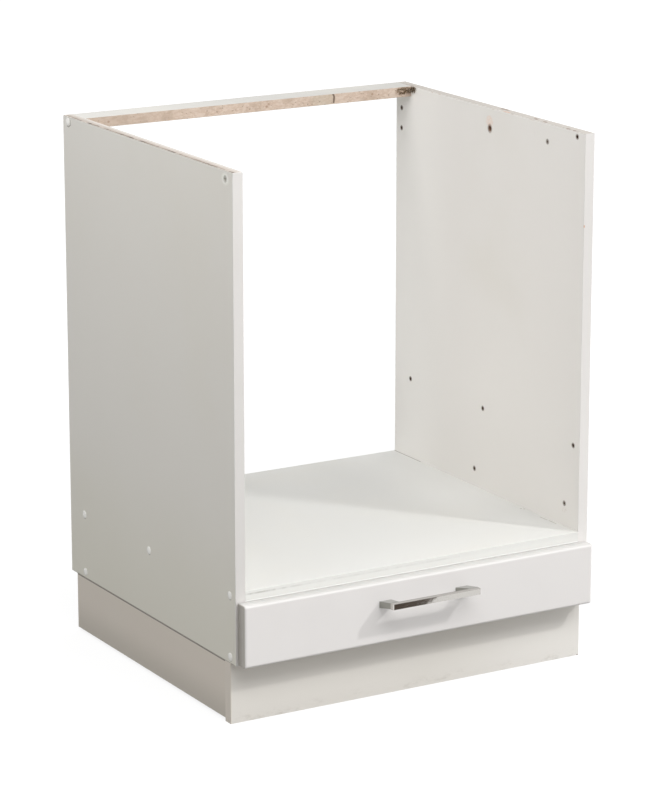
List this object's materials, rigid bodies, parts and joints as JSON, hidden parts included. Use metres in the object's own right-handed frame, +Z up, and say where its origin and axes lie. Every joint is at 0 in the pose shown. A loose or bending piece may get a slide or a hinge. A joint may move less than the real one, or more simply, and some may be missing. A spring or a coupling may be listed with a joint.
{
  "type": "appliance base unit",
  "caption": "Open base cabinet for a built-in oven, with an oven shelf, a rear top rail, a shallow handled drawer on roller runners below it and a plinth frame",
  "frame": {"origin": "on the floor, under the middle of the overall box, handle included", "axes": "+X to the right seen from the front, +Y from the front to the back, +Z up"},
  "size_m": [0.6022, 0.5836, 0.804],
  "materials": {
    "white_board": "fine-grained white melamine on chipboard",
    "raw_board": "raw hardwood",
    "white_edging": "smooth edge band",
    "drawer_front_board": "satin white foil over rounded edges",
    "hardboard": "white-faced hardboard",
    "white_steel": "white epoxy coating",
    "zinc_steel": "bright zinc",
    "white_plastic": "moulded, satin",
    "cap_plastic": "moulded, satin",
    "polished_chrome": "polished",
    "soft_pad": "soft translucent"
  },
  "bodies": {
    "carcass": {"side_panel_left": "white_board", "side_panel_right": "white_board", "edge_band_left": "white_edging", "edge_band_right": "white_edging", "oven_shelf": "white_board", "shelf_edge_band": "white_edging", "bottom_panel": "white_board", "bottom_edge_band": "white_edging", "rear_top_rail": "white_board", "connecting_screws": "zinc_steel", "screw_caps": "cap_plastic", "dowels": "raw_board", "plinth_front": "white_board", "plinth_rear": "white_board", "plinth_left": "white_board", "plinth_right": "white_board", "plinth_corner_blocks": "white_plastic", "plinth_screws": "zinc_steel", "cabinet_runner_left": "white_steel", "cabinet_runner_right": "white_steel", "cabinet_runner_screws": "zinc_steel", "front_roller_pins": "zinc_steel"},
    "drawer": {"drawer_front": "drawer_front_board", "drawer_bottom": "hardboard", "drawer_back": "white_board", "drawer_side_left": "white_board", "drawer_side_right": "white_board", "front_bracket_left": "zinc_steel", "front_bracket_right": "zinc_steel", "bracket_screws": "zinc_steel", "back_screws": "zinc_steel", "bottom_tacks": "zinc_steel", "buffer_pads": "soft_pad", "handle": "polished_chrome", "handle_screws": "zinc_steel", "drawer_runner_left": "white_steel", "drawer_runner_right": "white_steel", "drawer_runner_screws": "zinc_steel", "rear_roller_pins": "zinc_steel"},
    "front_roller_left": {"front_roller_left": "white_plastic"},
    "front_roller_right": {"front_roller_right": "white_plastic"},
    "rear_roller_left": {"rear_roller_left": "white_plastic"},
    "rear_roller_right": {"rear_roller_right": "white_plastic"}
  },
  "joints": [
    {"name": "drawer_slide", "type": "slide", "parent": "carcass", "child": "drawer", "axis": [0, -1, 0], "range_m": [0, 0.34]},
    {"name": "front_roller_left_turn", "type": "hinge", "parent": "carcass", "child": "front_roller_left", "pos_m": [-0.2792, -0.21525, 0.1295], "axis": [1, 0, 0], "continuous": true},
    {"name": "front_roller_right_turn", "type": "hinge", "parent": "carcass", "child": "front_roller_right", "pos_m": [0.2792, -0.21525, 0.1295], "axis": [1, 0, 0], "continuous": true},
    {"name": "rear_roller_left_turn", "type": "hinge", "parent": "drawer", "child": "rear_roller_left", "pos_m": [-0.2763, 0.18925, 0.1255], "axis": [1, 0, 0], "continuous": true},
    {"name": "rear_roller_right_turn", "type": "hinge", "parent": "drawer", "child": "rear_roller_right", "pos_m": [0.2763, 0.18925, 0.1255], "axis": [1, 0, 0], "continuous": true}
  ],
  "couplings": [
    {"joint": "front_roller_left_turn", "follows": "drawer_slide", "rad_per_m": 100},
    {"joint": "front_roller_right_turn", "follows": "drawer_slide", "rad_per_m": 100},
    {"joint": "rear_roller_left_turn", "follows": "drawer_slide", "rad_per_m": 100},
    {"joint": "rear_roller_right_turn", "follows": "drawer_slide", "rad_per_m": 100}
  ]
}
